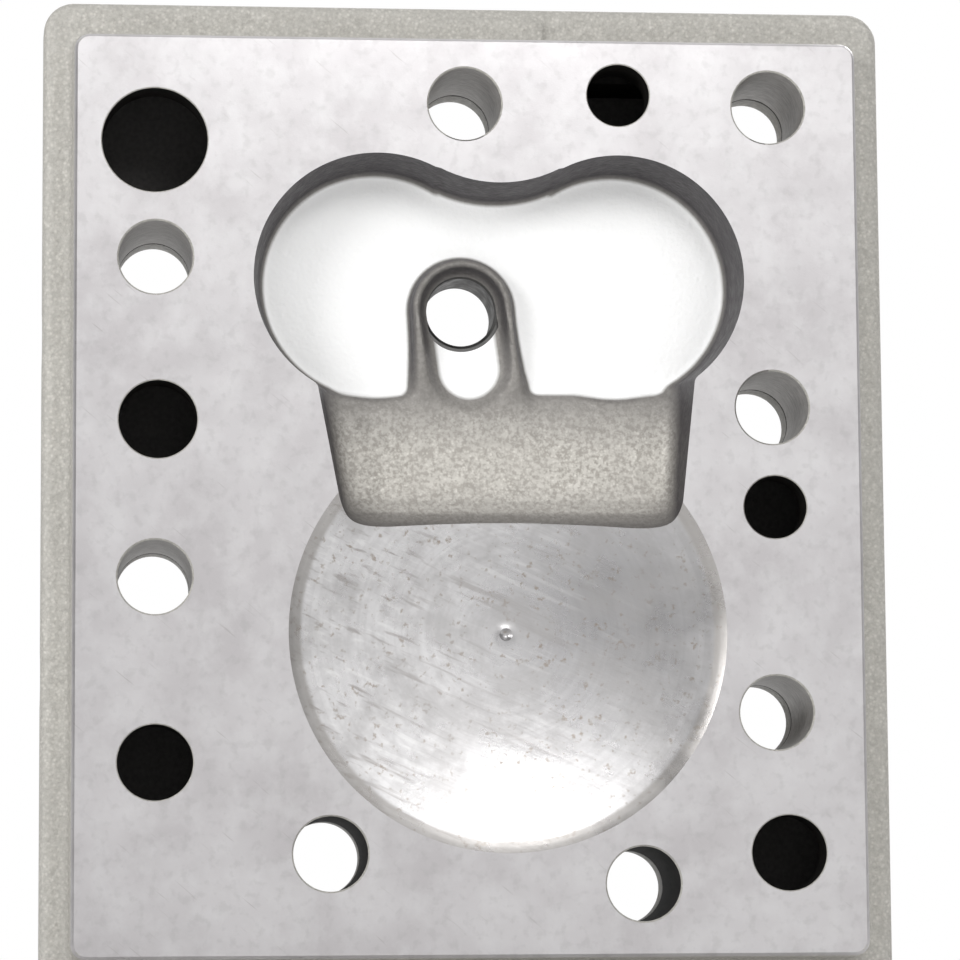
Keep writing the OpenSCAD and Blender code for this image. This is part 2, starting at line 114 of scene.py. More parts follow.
OUTLET_LUG_R = 7.5
OUTLET_SCREWS = tuple(
    (31.0 * math.cos(math.radians(a)), 31.0 * math.sin(math.radians(a))) for a in (60, 180, 300)
)
ELBOW_R = 25.0
ELBOW_BORE_R = 21.0
ELBOW_BALL_Y = 60.0
NECK_Y = 64.5
NECK_R = 16.0
NECK_SHOULDER = 1.5
NECK_ROOT_END = 28.5
NECK_BORE_R = 13.0
SENDER = (-46.0, -20.0)
PETCOCK = (21.0, 94.0)
DRAIN = (-4.5, -47.0)
# Place, boss radius and hole radius of each fitting in the cover.
FITTINGS = ((SENDER, 12, 6.05), (PETCOCK, 9.5, 4.85), (DRAIN, 11, 6.85))
FITTING_RISE = 3.2
COVER_T = 6.0
COVER_STOCK = 1.2
STUD_PAD_R = 11.5
SPOT_FACE_R = 10.5
WELL_WALL = 3.4
RIBS = 10
RIB_PITCH = 11.4
RIB_HALF_T = 1.6
RIB_HEIGHT = 5.0
ELBOW_FOOT_T = 8.0
WASHER_T = 1.2
HEAD_R = 5.8
HEAD_T = 4.0
SCREW_R = 3.0
SCREW_HOLE_R = 3.05
SCREW_CLEAR_R = 3.3


def box_mm(node):
    """A CAD node's lowest and highest corner in millimetres."""
    low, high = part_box(node)
    return np.array(low) / MM, np.array(high) / MM


CASTING = box_mm("head_casting")
COVER = box_mm("jacket_cover")
ELBOW = box_mm("outlet_elbow")
FLANGE_X = (CASTING[0][0], CASTING[1][0])
FLANGE_Z = (CASTING[0][2], CASTING[1][2])
DECK_X = (FLANGE_X[0] + 6, FLANGE_X[1] - 6)
DECK_Z = (FLANGE_Z[0] + 9, FLANGE_Z[1] - 8)
BACK_Y = CASTING[1][1]
COVER_Y = COVER[0][1]
PLATE_Y = COVER_Y + COVER_T
TOWER_Y = COVER[1][1]
FITTING_Y = PLATE_Y + FITTING_RISE
ELBOW_Y = ELBOW[0][1]
LUG_Y = ELBOW_Y + ELBOW_FOOT_T
SEAT_Y = TOWER_Y - 1.5
SCREW_X = (FLANGE_X[0] + 6.5, FLANGE_X[1] - 6.5)
SCREW_Z = (FLANGE_Z[0] + 7, FLANGE_Z[1] - 7)
SCREWS = tuple(
    [(SCREW_X[0] + (SCREW_X[1] - SCREW_X[0]) * i / 3, z) for z in SCREW_Z for i in range(4)]
    + [(SCREW_X[0], z) for z in (-27, 40.6, 95)]
    + [(SCREW_X[1], z) for z in (-43, 13.9, 72.1)]
)


# ---------------------------------------------------------------- distance fields
# A field is an array of distances on a grid, negative inside the metal or the cut.

class Grid:
    """Sparse coordinate arrays of a box of space, in millimetres."""

    def __init__(self, low, high, step):
        self.step = step
        self.low = np.array(low, float) - 3 * step
        counts = np.ceil((np.array(high) - self.low) / step).astype(int) + 4
        axes = [self.low[i] + step * np.arange(counts[i]) for i in range(3)]
        self.x = axes[0].astype(np.float32)[:, None, None]
        self.y = axes[1].astype(np.float32)[None, :, None]
        self.z = axes[2].astype(np.float32)[None, None, :]


def smin(a, b, k):
    """Union of two fields with a fillet of about k."""
    h = np.maximum(k - np.abs(a - b), 0) / k
    return np.minimum(a, b) - h * h * k * 0.25


def smax(a, b, k):
    """Intersection of two fields with an edge rounded by about k."""
    return -smin(-a, -b, k)


def disc(g, p, r):
    return np.sqrt((g.x - p[0]) ** 2 + (g.z - p[1]) ** 2) - r


def rounded_box(g, xs, zs, r):
    """A rounded rectangle in the plane."""
    dx = np.abs(g.x - (xs[0] + xs[1]) / 2) - (xs[1] - xs[0]) / 2 + r
    dz = np.abs(g.z - (zs[0] + zs[1]) / 2) - (zs[1] - zs[0]) / 2 + r
    outside = np.sqrt(np.maximum(dx, 0) ** 2 + np.maximum(dz, 0) ** 2)
    return outside + np.minimum(np.maximum(dx, dz), 0) - r


def convex(g, points):
    """A convex outline in the plane, its points running anticlockwise."""
    field = None
    for (x0, z0), (x1, z1) in zip(points, points[1:] + points[:1]):
        length = math.hypot(x1 - x0, z1 - z0)
        side = ((g.x - x0) * (z1 - z0) - (g.z - z0) * (x1 - x0)) / length
        field = side if field is None else np.maximum(field, side)
    return field


def capsule(g, p, q, r):
    """A stadium shape between two plane points."""
    ax, az = q[0] - p[0], q[1] - p[1]
    t = np.clip(((g.x - p[0]) * ax + (g.z - p[1]) * az) / (ax * ax + az * az), 0, 1)
    return np.sqrt((g.x - p[0] - t * ax) ** 2 + (g.z - p[1] - t * az) ** 2) - r


def between(g, y0, y1):
    return np.maximum(y0 - g.y, g.y - y1)


def pocket_outline(g):
    """The two lobes over the valves and the metal arc that dips between them."""
    lobes = np.minimum(disc(g, LOBES[0], LOBE_R), disc(g, LOBES[1], LOBE_R))
    base = LOBES[0][1] - 8
    bridge = convex(g, [(LOBES[0][0], base), (LOBES[1][0], base), LOBES[1], DIP, LOBES[0]])
    bridge = np.maximum(bridge, -disc(g, DIP, DIP_R))
    top = LOBES[0][1] + 8
    skirt = convex(g, [(SHELF_TOP[0] + 1, FLOOR_Z), (SHELF_TOP[1] - 1, FLOOR_Z),
                       (LOBES[1][0], top), (LOBES[0][0], top)])
    return smin(np.minimum(lobes, bridge), skirt, 0.6)


def shelf_outline(g):
    low = (SHELF_LOW[0], SHELF_LIP_Z), (SHELF_LOW[1], SHELF_LIP_Z)
    top = (SHELF_TOP[1] + 0.6, FLOOR_Z + 10), (SHELF_TOP[0] - 1.0, FLOOR_Z + 10)
    sides = convex(g, [low[0], low[1], top[0], top[1]])
    corner = 4.0
    left = (g.x - SHELF_LOW[0]) * -1.0 - (g.z - SHELF_LIP_Z) * 0.19
    right = (g.x - SHELF_LOW[1]) - (g.z - SHELF_LIP_Z) * 0.11
    lip = SHELF_LIP_Z - g.z
    rounded = smax(smax(left, lip, 2 * corner), smax(right, lip, 2 * corner), 0.01)
    return np.maximum(rounded, sides - 1.0)


def shelf_depth(g):
    """How deep the shelf lies below the gasket face at each height."""
    heights = [SHELF_LIP_Z - 2, SHELF_LIP_Z, 19.3, 21.2, 23.2, 26, 30, 35, 39, 43, 46, 47.6, 62]
    depths = [-3.0, 0.0, 2.6, 5.0, 6.9, 8.2, 9.1, 9.7, 10.3, 11.1, 12.1, 13.0, 13.0]
    return np.interp(g.z.ravel(), heights, depths).astype(np.float32)[None, None, :]


def plug_surround(g):
    """The raised horseshoe about the plug's slot, sinking and widening towards the shelf."""
    down = np.clip((PLUG[1] - g.z) / 17, 0, 1)
    side = capsule(g, PLUG, BOSS_FOOT, BOSS_R) - 1.7 * down * down
    side = side - 0.04 * (g.y - POCKET_DEPTH + BOSS_RISE)
    top = POCKET_DEPTH - BOSS_RISE + 0.26 * np.maximum(60 - g.z, 0)
    return smax(side, top - g.y, 3.6)


def chamber(g):
    """The hollow over the valves: pocket, shelf, plug surround and slot."""
    draft = 1.6 * g.y / POCKET_DEPTH
    pocket = smax(pocket_outline(g) + draft, g.y - POCKET_DEPTH, 2.0)
    shelf = smax(shelf_outline(g) + draft * 1.3, (g.y - shelf_depth(g)) * 0.85, 4.5)
    shelf = np.maximum(shelf, g.z - FLOOR_Z - 8)
    hollow = smin(pocket, shelf, 0.5)
    hollow = smax(hollow, -plug_surround(g), 1.8)
    slot = capsule(g, PLUG, SLOT_END, SLOT_R) + 0.05 * (g.y - POCKET_DEPTH)
    slot = smax(slot, g.y - POCKET_DEPTH, 4.0)
    return smin(hollow, slot, 2.2)


def jacket_space(g):
    """The coolant's space behind the deck."""
    space = smax(rounded_box(g, (FLANGE_X[0] + RAIL - 3, FLANGE_X[1] - RAIL + 3),
                             (FLANGE_Z[0] + RAIL, FLANGE_Z[1] - RAIL), 8), DECK_T - g.y, 4)
    roof = smin(pocket_outline(g) - 5.0, shelf_outline(g) - 4.0, 3)
    roof = smax(roof, g.y - POCKET_DEPTH - 5.5, 3)
    roof = smin(roof, smax(disc(g, (0, 0), DISH_R - 3), g.y - DISH_DEPTH - 7, 3), 3)
    for p in STUDS:
        roof = smin(roof, disc(g, p, STUD_COLUMN_R), 2.5)
    roof = smin(roof, disc(g, PLUG, PLUG_COLUMN_R), 2.5)
    return smax(space, -roof, 2.0)


def casting_field(g):
    """The head as it comes out of the sand, with machining stock on both faces."""
    stock = 1.5
    outline = rounded_box(g, DECK_X, DECK_Z, 3)
    deck = smax(outline - 0.02 * g.y, between(g, -stock, DECK_T + 3), 1.0)
    deck = np.maximum(deck, (outline + DECK_CHAMFER - g.y) * 0.707)
    side = rounded_box(g, FLANGE_X, FLANGE_Z, 6)
    side = side + 0.03 * np.abs(g.y - 15)
    flange = smax(side, between(g, DECK_T, BACK_Y + stock), 2.0)
    metal = smin(deck, flange, 2.4)
    pad = smax(rounded_box(g, (-17.5, 8.5), (FLANGE_Z[1] - 7.6, FLANGE_Z[1] - 2.4), 2.2),
               between(g, DECK_T - 0.7, DECK_T + 2), 0.8)
    metal = smin(metal, pad, 0.8)
    metal = smax(metal, -chamber(g), 0.35)
    return smax(metal, -jacket_space(g), 1.2)


def cone_disc(g, p, r0, r1, y0, y1):
    """A drafted boss with radius r0 at y0 and r1 at y1."""
    return disc(g, p, r0) + (r0 - r1) * (g.y - y0) / (y1 - y0)


def cover_field(g):
    """The ribbed jacket cover as cast."""
    side = rounded_box(g, FLANGE_X, FLANGE_Z, 6) + 0.04 * (g.y - COVER_Y)
    metal = smax(side, between(g, COVER_Y - COVER_STOCK, PLATE_Y), 1.6)
    ribs = None
    for i in range(RIBS):
        x = (FLANGE_X[0] + FLANGE_X[1]) / 2 + RIB_PITCH * (i - (RIBS - 1) / 2)
        rib = capsule(g, (x, FLANGE_Z[0] + 35), (x, FLANGE_Z[1] - RAIL - 2), RIB_HALF_T)
        rib = rib + 0.09 * (g.y - PLATE_Y)
        ribs = rib if ribs is None else np.minimum(ribs, rib)
    clear = np.minimum.reduce(np.broadcast_arrays(
        *[disc(g, p, 13.5) for p in STUDS], disc(g, (0, 0), TOWER_R + 11),
        disc(g, PLUG, PLUG_WELL_R + 5.5), disc(g, (PLUG[0], 43), 10),
        *[disc(g, p, r + 2) for p, r, _ in FITTINGS]))
    ribs = smax(smax(ribs, -clear, 1.2), between(g, COVER_Y, PLATE_Y + RIB_HEIGHT), 1.6)
    metal = smin(metal, ribs, 2.2)
    for p in STUDS:
        pad = smax(disc(g, p, STUD_PAD_R), between(g, COVER_Y, PLATE_Y + 0.01), 0.6)
        metal = smin(metal, pad, 1.0)
    well = disc(g, PLUG, PLUG_WELL_R + WELL_WALL)
    well = smax(well, between(g, COVER_Y, PLATE_Y + RIB_HEIGHT), 1.6)
    metal = smin(metal, well, 2.4)
    for p, r, _ in FITTINGS:
        boss = cone_disc(g, p, r, r - 0.6, PLATE_Y, FITTING_Y)
        boss = smax(boss, between(g, COVER_Y, FITTING_Y + COVER_STOCK), 1.0)
        metal = smin(metal, boss, 2.4)
    tower = cone_disc(g, (0, 0), TOWER_R + 2.5, TOWER_R - 2.5, PLATE_Y, TOWER_Y)
    for p in OUTLET_SCREWS:
        tower = smin(tower, disc(g, p, OUTLET_LUG_R), 3.0)
    metal = smin(metal, smax(tower, between(g, COVER_Y, TOWER_Y + COVER_STOCK), 1.0), 3.5)
    bores = np.minimum(disc(g, (0, 0), TOWER_BORE_R), disc(g, PLUG, PLUG_WELL_R))
    return smax(metal, -bores, 0.8)


def elbow_field(g):
    """The water outlet as cast: joint face with three lugs, dome and hose neck."""
    face = disc(g, (0, 0), TOWER_R - 2.5)
    for p in OUTLET_SCREWS:
        face = smin(face, disc(g, p, OUTLET_LUG_R), 3.5)
    foot = between(g, ELBOW_Y - COVER_STOCK, LUG_Y)
    face = smax(face + 0.02 * (g.y - ELBOW_Y), foot, 1.4)
    height = np.maximum(g.y - ELBOW_BALL_Y, 0)
    dome = np.sqrt(g.x ** 2 + g.z ** 2 + height ** 2) - ELBOW_R + 0.15
    dome = np.maximum(dome, ELBOW_Y - g.y)
    around = np.sqrt((g.y - NECK_Y) ** 2 + g.z ** 2)
    end = ELBOW[1][0]
    neck = smax(around - NECK_R, np.maximum(-g.x, g.x - end), 1.0)
    root = smax(around - NECK_R - NECK_SHOULDER, np.maximum(-g.x, g.x - NECK_ROOT_END), 0.8)
    metal = smin(smin(face, dome, 4.0), root, 4.0)
    metal = smin(metal, neck, 0.4)
    inside = np.sqrt(g.x ** 2 + g.z ** 2 + height ** 2) - ELBOW_BORE_R
    inside = smin(inside, np.maximum(around - NECK_BORE_R, -g.x), 2.5)
    return smax(metal, -inside, 0.8)


def mesh_of(name, field, g):
    """The surface of a field as a mesh object, in metres."""
    band = 3 * g.step
    vdb = openvdb.FloatGrid(band)
    vdb.copyFromArray(np.ascontiguousarray(np.clip(field, -band, band), dtype=np.float32))
    points, quads = vdb.convertToQuads(0.0)
    points = (points * g.step + g.low) * MM
    mesh = bpy.data.meshes.new(name)
    mesh.vertices.add(len(points))
    mesh.vertices.foreach_set("co", points.astype(np.float32).ravel())
    mesh.loops.add(quads.size)
    mesh.loops.foreach_set("vertex_index", quads.astype(np.int32).ravel())
    mesh.polygons.add(len(quads))
    mesh.polygons.foreach_set("loop_start", np.arange(0, quads.size, 4, dtype=np.int32))
    mesh.update(calc_edges=True)
    mesh.validate()
    tool = bmesh.new()
    tool.from_mesh(mesh)
    if tool.calc_volume(signed=True) < 0:
        bmesh.ops.reverse_faces(tool, faces=tool.faces)
    tool.to_mesh(mesh)
    tool.free()
    piece = bpy.data.objects.new(name, mesh)
    bpy.context.collection.objects.link(piece)
    return piece


# ---------------------------------------------------------------- meshes

def add_lathe(tool, profile, p, segments=72, axis="Y"):
    """Adds a closed turned solid. profile holds (radius, distance along the axis) from axis to axis.

    p is the (x, z) of an axis along Y, or the (y, z) of an axis along X."""
    rings = []
    for r, along in profile:
        ring = []
        for i in range(1 if r < 1e-6 else segments):
            a = 2 * math.pi * i / segments
            u, v = r * math.cos(a), r * math.sin(a)
            point = (p[0] + u, along, p[1] + v) if axis == "Y" else (along, p[0] + u, p[1] + v)
            ring.append(tool.verts.new(Vector(point) * MM))
        rings.append(ring)
    faces = []
    for a, b in zip(rings, rings[1:]):
        for i in range(segments):
            j = (i + 1) % segments
            corners = [a[i % len(a)], a[j % len(a)], b[j % len(b)], b[i % len(b)]]
            unique = list(dict.fromkeys(corners))
            if len(unique) > 2:
                faces.append(tool.faces.new(unique))
    return faces


def add_box(tool, low, high):
    made = bmesh.ops.create_cube(tool, size=1)["verts"]
    low, high = Vector(low) * MM, Vector(high) * MM
    for v in made:
        v.co = Vector([(low[i] + high[i]) / 2 + v.co[i] * (high[i] - low[i]) for i in range(3)])


def add_hexagon(tool, p, r, y0, y1):
    """A hexagonal bar along Y whose outer end is chamfered."""
    chamfer = 0.7
    rings = []
    for y, k in ((y0, 1.0), (y1 - chamfer, 1.0), (y1, 0.86)):
        rings.append([
            tool.verts.new(Vector((p[0] + k * r * math.cos(math.pi * i / 3), y,
                                   p[1] + k * r * math.sin(math.pi * i / 3))) * MM)
            for i in range(6)])
    for a, b in zip(rings, rings[1:]):
        for i in range(6):
            j = (i + 1) % 6
            tool.faces.new((a[i], a[j], b[j], b[i]))
    tool.faces.new(rings[0][::-1])
    tool.faces.new(rings[-1])


def solid(name, build):
    """A mesh object made by calling build with an empty bmesh."""
    tool = bmesh.new()
    build(tool)
    bmesh.ops.recalc_face_normals(tool, faces=tool.faces)
    mesh = bpy.data.meshes.new(name)
    tool.to_mesh(mesh)
    tool.free()
    piece = bpy.data.objects.new(name, mesh)
    bpy.context.collection.objects.link(piece)
    return piece


def apply_modifiers(piece):
    """Turns a piece's modifiers into its own mesh."""
    shown = piece.evaluated_get(bpy.context.evaluated_depsgraph_get())
    mesh = bpy.data.meshes.new_from_object(shown)
    piece.modifiers.clear()
    old = piece.data
    piece.data = mesh
    bpy.data.meshes.remove(old)


def cut(piece, name, build):
    """Machines piece with the solids that build makes, which don't overlap one another."""
    cutter = solid(name, build)
    change = piece.modifiers.new(name, "BOOLEAN")
    change.operation = "DIFFERENCE"
    change.object = cutter
    change.solver = "MANIFOLD"
    apply_modifiers(piece)
    mesh = cutter.data
    bpy.data.objects.remove(cutter)
    bpy.data.meshes.remove(mesh)


def drill(tool, p, r, y0, y1, chamfer=0.0, face=None):
    """A drill's solid from y0 to y1, with a small chamfer where it enters the face."""
    if face is None:
        add_lathe(tool, [(0, y0), (r, y0), (r, y1), (0, y1)], p)
        return
    out = -1 if abs(y0 - face) < abs(y1 - face) else 1
    start, stop = (y0, y1) if out < 0 else (y1, y0)
    add_lathe(tool, [
        (0, start), (r + chamfer + abs(start - face), start), (r + chamfer, face),
        (r, face - out * chamfer), (r, stop), (0, stop)], p)


def soften(piece, width_mm, angle):
    """Adds a narrow bevel to the edges that are sharper than angle."""
    edge = piece.modifiers.new("edge", "BEVEL")
    edge.width = width_mm * MM
    edge.segments = 2
    edge.limit_method = "ANGLE"
    edge.angle_limit = math.radians(angle)


def smooth(piece, angle=32, flat=None):
    """Smooth shading up to an angle, except on the faces that flat marks."""
    mesh = piece.data
    mesh.shade_smooth()
    mesh.set_sharp_from_angle(angle=math.radians(angle))
    if flat is not None:
        mesh.polygons.foreach_set("use_smooth", ~flat)


def face_arrays(mesh):
    """Centres in millimetres and normals of every face."""
    centers = np.empty(len(mesh.polygons) * 3, np.float32)
    normals = np.empty(len(mesh.polygons) * 3, np.float32)
    mesh.polygons.foreach_get("center", centers)
    mesh.polygons.foreach_get("normal", normals)
    return centers.reshape(-1, 3) / MM, normals.reshape(-1, 3)


def wear(piece, keys, kinds=None):
    """Gives a piece its materials. kinds holds each face's place in keys."""
    mesh = piece.data
    mesh.materials.clear()
    for key in keys:
        mesh.materials.append(MATERIALS[key])
    if kinds is None:
        kinds = np.zeros(len(mesh.polygons), np.int32)
    mesh.polygons.foreach_set("material_index", kinds.astype(np.int32))


def place(piece, body, slot, *nodes):
    """Puts a finished piece on its body in place of its CAD nodes."""
    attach(piece, body)
    if nodes:
        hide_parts(*nodes)
    return piece


# ---------------------------------------------------------------- materials

class Nodes:
    """A material's node tree, with short calls for the nodes that the finishes share."""

    def __init__(self, name, base, metallic, roughness):
        self.material = bpy.data.materials.new(name)
        self.material.use_nodes = True
        self.material.diffuse_color = (*base, 1)
        self.tree = self.material.node_tree
        self.shader = self.tree.nodes["Principled BSDF"]
        self.shader.inputs["Base Color"].default_value = (*base, 1)
        self.shader.inputs["Metallic"].default_value = metallic
        self.shader.inputs["Roughness"].default_value = roughness
        self.base = base
        self.coordinates = self.tree.nodes.new("ShaderNodeTexCoord")
        self.space = self.coordinates.outputs["Object"]

    def link(self, output, node_input):
        self.tree.links.new(output, node_input)

    def node(self, kind, **values):
        made = self.tree.nodes.new(kind)
        for key, value in values.items():
            setattr(made, key, value)
        return made

    def stretched(self, lengths, rotation=(0, 0, 0)):
        """The object's space, in which a pattern is turned and drawn out along its own axes."""
        mapping = self.node("ShaderNodeMapping", vector_type="TEXTURE")
        mapping.inputs["Scale"].default_value = lengths
        mapping.inputs["Rotation"].default_value = rotation
        self.link(self.space, mapping.inputs["Vector"])
        return mapping.outputs["Vector"]

    def noise(self, size_mm, detail=3.0, rough=0.55, vector=None):
        """Noise whose blotches are about size_mm across, from 0 to 1."""
        made = self.node("ShaderNodeTexNoise")
        made.inputs["Scale"].default_value = 1 / (size_mm * MM)
        made.inputs["Detail"].default_value = detail
        made.inputs["Roughness"].default_value = rough
        self.link(vector or self.space, made.inputs["Vector"])
        return made.outputs["Fac"]

    def grains(self, size_mm):
        made = self.node("ShaderNodeTexVoronoi")
        made.inputs["Scale"].default_value = 1 / (size_mm * MM)
        self.link(self.space, made.inputs["Vector"])
        return made.outputs["Distance"]

    def ramp(self, value, low, high, from_low=0.35, from_high=0.65):
        """value between from_low and from_high, mapped to low and high."""
        made = self.node("ShaderNodeMapRange")
        made.inputs["From Min"].default_value = from_low
        made.inputs["From Max"].default_value = from_high
        made.inputs["To Min"].default_value = low
        made.inputs["To Max"].default_value = high
        self.link(value, made.inputs["Value"])
        return made.outputs["Result"]

    def math(self, operation, a, b):
        made = self.node("ShaderNodeMath", operation=operation)
        for socket, value in zip(made.inputs, (a, b)):
            if isinstance(value, (int, float)):
                socket.default_value = value
            else:
                self.link(value, socket)
        return made.outputs["Value"]

    def along(self, axis):
        """The coordinate along an axis, in metres."""
        parts = self.node("ShaderNodeSeparateXYZ")
        self.link(self.space, parts.inputs["Vector"])
        return parts.outputs[axis]

    def steepness(self):
        """0 where the surface faces the cylinder, 1 where it is a wall."""
        parts = self.node("ShaderNodeSeparateXYZ")
        self.link(self.coordinates.outputs["Normal"], parts.inputs["Vector"])
        return self.math("ADD", parts.outputs["Y"], 1.0)

    def radius(self, center=(0, 0)):
        """Distance from an axis along Y, in metres."""
        parts = self.node("ShaderNodeSeparateXYZ")
        self.link(self.space, parts.inputs["Vector"])
        dx = self.math("SUBTRACT", parts.outputs["X"], center[0] * MM)
        dz = self.math("SUBTRACT", parts.outputs["Z"], center[1] * MM)
        square = self.math("ADD", self.math("MULTIPLY", dx, dx), self.math("MULTIPLY", dz, dz))
        return self.math("SQRT", square, 0)

    def tint(self, factor, color):
        """Mixes another colour into the base colour where factor is 1."""
        socket = self.shader.inputs["Base Color"]
        mix = self.node("ShaderNodeMix", data_type="RGBA")
        if socket.links:
            self.link(socket.links[0].from_socket, mix.inputs["A"])
        else:
            mix.inputs["A"].default_value = (*self.base, 1)
        mix.inputs["B"].default_value = (*color, 1)
        self.link(factor, mix.inputs["Factor"])
        self.link(mix.outputs["Result"], socket)

    def rough(self, value):
        self.link(value, self.shader.inputs["Roughness"])

    def bump(self, height, depth_mm):
        """Adds relief of about depth_mm under whatever relief is there already."""
        socket = self.shader.inputs["Normal"]
        made = self.node("ShaderNodeBump")
        made.inputs["Strength"].default_value = 1.0
        made.inputs["Distance"].default_value = depth_mm * MM
        self.link(height, made.inputs["Height"])
        if socket.links:
            self.link(socket.links[0].from_socket, made.inputs["Normal"])
        self.link(made.outputs["Normal"], socket)


def milled_metal():
    """The gasket face: ground flat, with pale blotches, stains and a few fine scores."""
    n = Nodes("milled_face", (0.55, 0.535, 0.541), 1.0, 0.31)
    n.tint(n.ramp(n.noise(22, 3), 0.0, 0.55, 0.40, 0.62), (0.43, 0.41, 0.417))
    n.tint(n.ramp(n.noise(6, 4, 0.65), 0.0, 0.45, 0.45, 0.65), (0.61, 0.602, 0.605))
    n.tint(n.ramp(n.noise(2.2, 3), 0.0, 0.25, 0.52, 0.66), (0.36, 0.35, 0.35))
    scores = n.noise(0.7, 2, vector=n.stretched((1, 1, 16), (0, math.radians(-50), 0)))
    n.tint(n.ramp(scores, 0.0, 0.45, 0.68, 0.78), (0.26, 0.24, 0.23))
    n.rough(n.ramp(n.noise(9, 4), 0.28, 0.34))
    n.bump(n.noise(0.35, 2), 0.008)
    n.bump(n.noise(7, 3), 0.03)
    return n.material


def turned_metal():
    """The dish: concentric tool marks, slanting scratches, small brown specks and a patch of painted
    shade right of the centre.
    """
    n = Nodes("turned_dish", (0.62, 0.612, 0.615), 1.0, 0.28)
    marks = n.node("ShaderNodeTexNoise", noise_dimensions="1D")
    marks.inputs["Scale"].default_value = 1 / (1.1 * MM)
    marks.inputs["Detail"].default_value = 3
    n.link(n.radius(), marks.inputs["W"])
    n.tint(n.ramp(marks.outputs["Fac"], 0.0, 0.2), (0.37, 0.36, 0.362))
    # Painted shade: a dark patch right of the centre, in place of the turned surface's reflection
    # pattern.
    n.tint(n.ramp(n.radius((20, 4)), 0.7, 0.0, 6 * MM, 34 * MM), (0.28, 0.275, 0.28))
    slanting = n.stretched((16, 1, 1), (0, math.radians(24), 0))
    scratches = n.noise(1.3, 3, vector=slanting)
    left = n.ramp(n.along("X"), 1.0, 0.15, -26 * MM, 22 * MM)
    n.tint(n.math("MULTIPLY", left, n.ramp(scratches, 0.0, 0.65, 0.58, 0.70)), (0.26, 0.235, 0.22))
    n.tint(n.math("MULTIPLY", left, n.ramp(scratches, 0.6, 0.0, 0.32, 0.44)), (0.72, 0.715, 0.71))
    n.tint(n.ramp(n.noise(1.3, 3), 0.0, 0.65, 0.60, 0.70), (0.27, 0.22, 0.17))
    n.tint(n.ramp(n.noise(8, 4, 0.65), 0.0, 0.6, 0.42, 0.62), (0.38, 0.37, 0.368))
    n.tint(n.ramp(n.radius(), 0.0, 0.6, 38.9 * MM, 39.5 * MM), (0.34, 0.32, 0.30))
    n.rough(n.ramp(n.noise(7, 4), 0.24, 0.36))
    n.bump(marks.outputs["Fac"], 0.006)
    n.bump(scratches, 0.02)
    n.bump(n.noise(0.4, 2), 0.006)
    return n.material


def sand_cast(name="sand_cast", base=(0.50, 0.485, 0.45), dark=(0.30, 0.29, 0.265)):
    """Aluminium as it comes from a sand mould: even grains with darker pits."""
    n = Nodes(name, base, 0.25, 0.62)
    n.tint(n.ramp(n.noise(0.75, 3, 0.7), 0.0, 0.55), dark)
    light = tuple(min(1, c * 1.5) for c in base)
    n.tint(n.ramp(n.grains(0.9), 0.5, 0.0, 0.0, 0.45), light)
    n.tint(n.ramp(n.noise(9, 4), 0.0, 0.3), tuple(c * 0.75 for c in base))
    n.rough(n.ramp(n.noise(1.2, 3), 0.5, 0.75))
    n.bump(n.noise(0.55, 3, 0.6), 0.16)
    n.bump(n.grains(1.1), 0.10)
    return n.material


def chamber_cast():
    """The hollow over the valves: beige grains on the shelf, painted shade on the steep walls and at
    both ends of the shelf, a floor painted near white as painted light.
    """
    base = (0.52, 0.50, 0.46)
    n = Nodes("chamber_cast", base, 0.35, 0.55)
    fine = n.noise(0.85, 2, 0.6)
    n.tint(n.ramp(fine, 0.0, 0.9, 0.42, 0.60), (0.32, 0.30, 0.27))
    n.tint(n.ramp(n.grains(0.8), 0.55, 0.0, 0.0, 0.4), (0.78, 0.76, 0.70))
    n.tint(n.ramp(n.noise(7, 3), 0.0, 0.3), (0.42, 0.40, 0.37))
    # Painted shade: darker towards the top, from 35 mm to 46 mm up and above, over the shelf's upper
    # part and the boss.
    n.tint(n.ramp(n.along("Z"), 0.0, 0.8, 35 * MM, 46 * MM), (0.21, 0.20, 0.19))
    # Painted shade: darker towards the shelf's lip, below 29 mm.
    n.tint(n.ramp(n.along("Z"), 0.75, 0.0, 19 * MM, 29 * MM), (0.25, 0.235, 0.22))
    steepness = n.steepness()
    # Painted shade: the steeper the face, the darker, near black on the walls.
    n.tint(n.ramp(steepness, 0.0, 1.0, 0.12, 0.75), (0.065, 0.060, 0.063))
    # Painted light: the pocket floor's colour is near white, as if lit to white, and it is made less
    # metallic.
    floor = n.ramp(n.along("Y"), 0.0, 1.0, 12.45 * MM, 12.8 * MM)
    floor = n.math("MULTIPLY", floor, n.ramp(steepness, 1.0, 0.0, 0.05, 0.4))
    n.tint(floor, (0.97, 0.97, 0.965))
    n.link(n.math("SUBTRACT", 0.35, n.math("MULTIPLY", floor, 0.35)), n.shader.inputs["Metallic"])
    n.rough(n.ramp(n.noise(2, 3), 0.48, 0.62))
    n.bump(fine, 0.10)
    n.bump(n.grains(1.0), 0.06)
    return n.material


def drilled_wall():
    """Grey drilled walls of the stud holes."""
    n = Nodes("drilled_wall", (0.40, 0.385, 0.37), 0.5, 0.45)
    n.tint(n.ramp(n.noise(2.0, 3, vector=n.stretched((1, 0.33, 1))), 0.0, 0.6), (0.17, 0.155, 0.145))
    n.bump(n.noise(0.5, 2, vector=n.stretched((2.5, 0.25, 2.5))), 0.03)
    return n.material


def shade_black_wall():
    """Near-black walls, painted shade, of the lower stud holes, the water holes and the jacket."""
    n = Nodes("shade_black_wall", (0.007, 0.0065, 0.006), 0.0, 0.7)
    n.tint(n.ramp(n.noise(1.5, 3), 0.0, 0.3), (0.03, 0.026, 0.023))
    n.shader.inputs["Specular IOR Level"].default_value = 0.12
    n.bump(n.noise(0.8, 3), 0.1)
    return n.material


